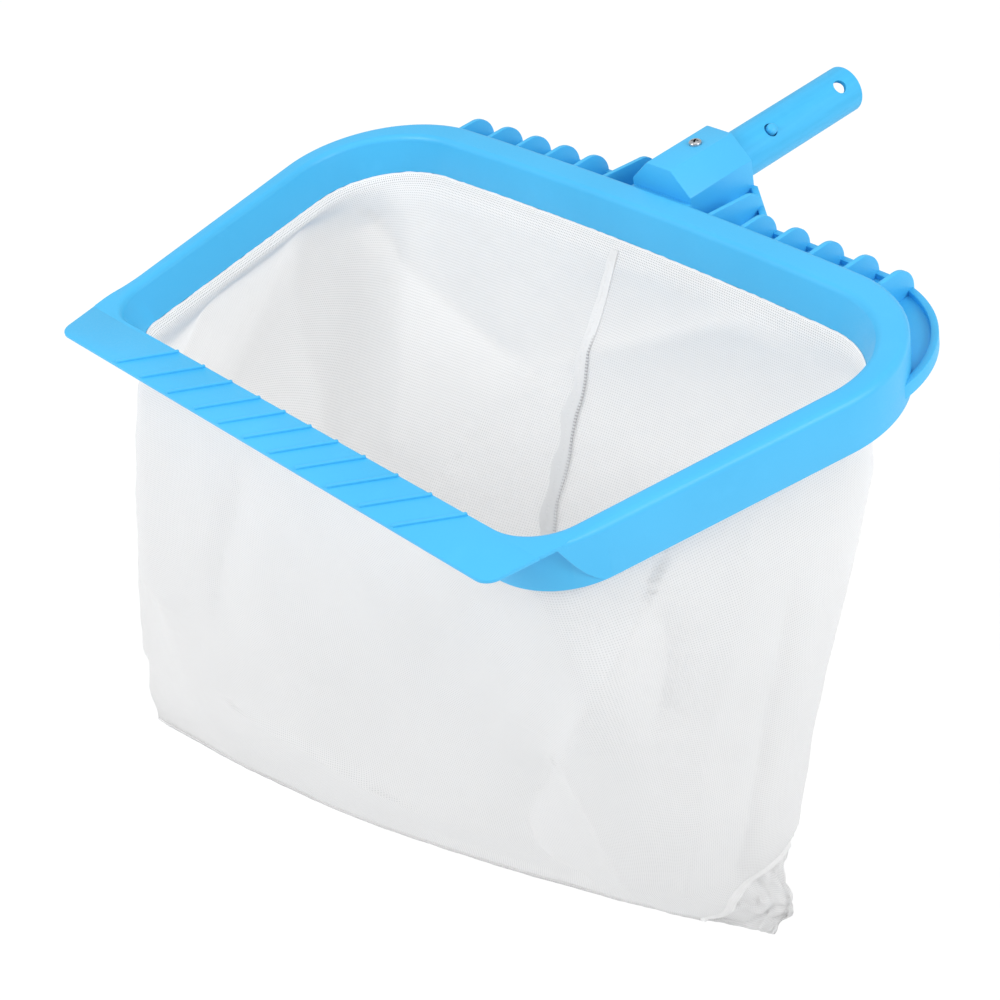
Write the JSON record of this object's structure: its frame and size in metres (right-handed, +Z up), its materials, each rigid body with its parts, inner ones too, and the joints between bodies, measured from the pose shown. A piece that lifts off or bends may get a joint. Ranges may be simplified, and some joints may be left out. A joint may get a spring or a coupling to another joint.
{
  "type": "pool leaf skimmer net",
  "caption": "Pool leaf skimmer with a moulded blue frame, a slanted-rib lip, a deep white mesh bag and a plug-in handle tube with a sprung button clip.",
  "frame": {"origin": "on the handle tube's axis, level with the clip's buttons, where a telescopic pole locks on", "axes": "+Y along the handle away from the net, +Z up out of the bag's mouth, +X to the right when looking along +Y from the lip"},
  "size_m": [0.4551, 0.4742, 0.3261],
  "materials": {
    "blue_plastic": "satin",
    "mesh": "fine woven mesh",
    "cord": "braided",
    "steel": "plain"
  },
  "bodies": {
    "net": {"frame": "blue_plastic", "clamp_ring": "blue_plastic", "ring_screws": "steel", "hem_cord": "cord", "net_bag": "mesh", "rear_seam_flap": "mesh", "bottom_seam": "mesh", "handle_tube": "blue_plastic", "socket_screw": "steel", "clip_bend": "blue_plastic"},
    "upper_button": {"clip_arm_upper": "blue_plastic"},
    "lower_button": {"clip_arm_lower": "blue_plastic"}
  },
  "joints": [
    {"name": "upper_button_press", "type": "hinge", "parent": "net", "child": "upper_button", "pos_m": [0.00368, 0.026, 0.00395], "axis": [0.7314, 0, -0.682], "range_deg": [0, 9], "stiffness_Nm_per_rad": 0.3, "springref_deg": -11.46},
    {"name": "lower_button_press", "type": "hinge", "parent": "net", "child": "lower_button", "pos_m": [-0.00368, 0.026, -0.00395], "axis": [-0.7314, 0, 0.682], "range_deg": [0, 9], "stiffness_Nm_per_rad": 0.3, "springref_deg": -11.46}
  ]
}
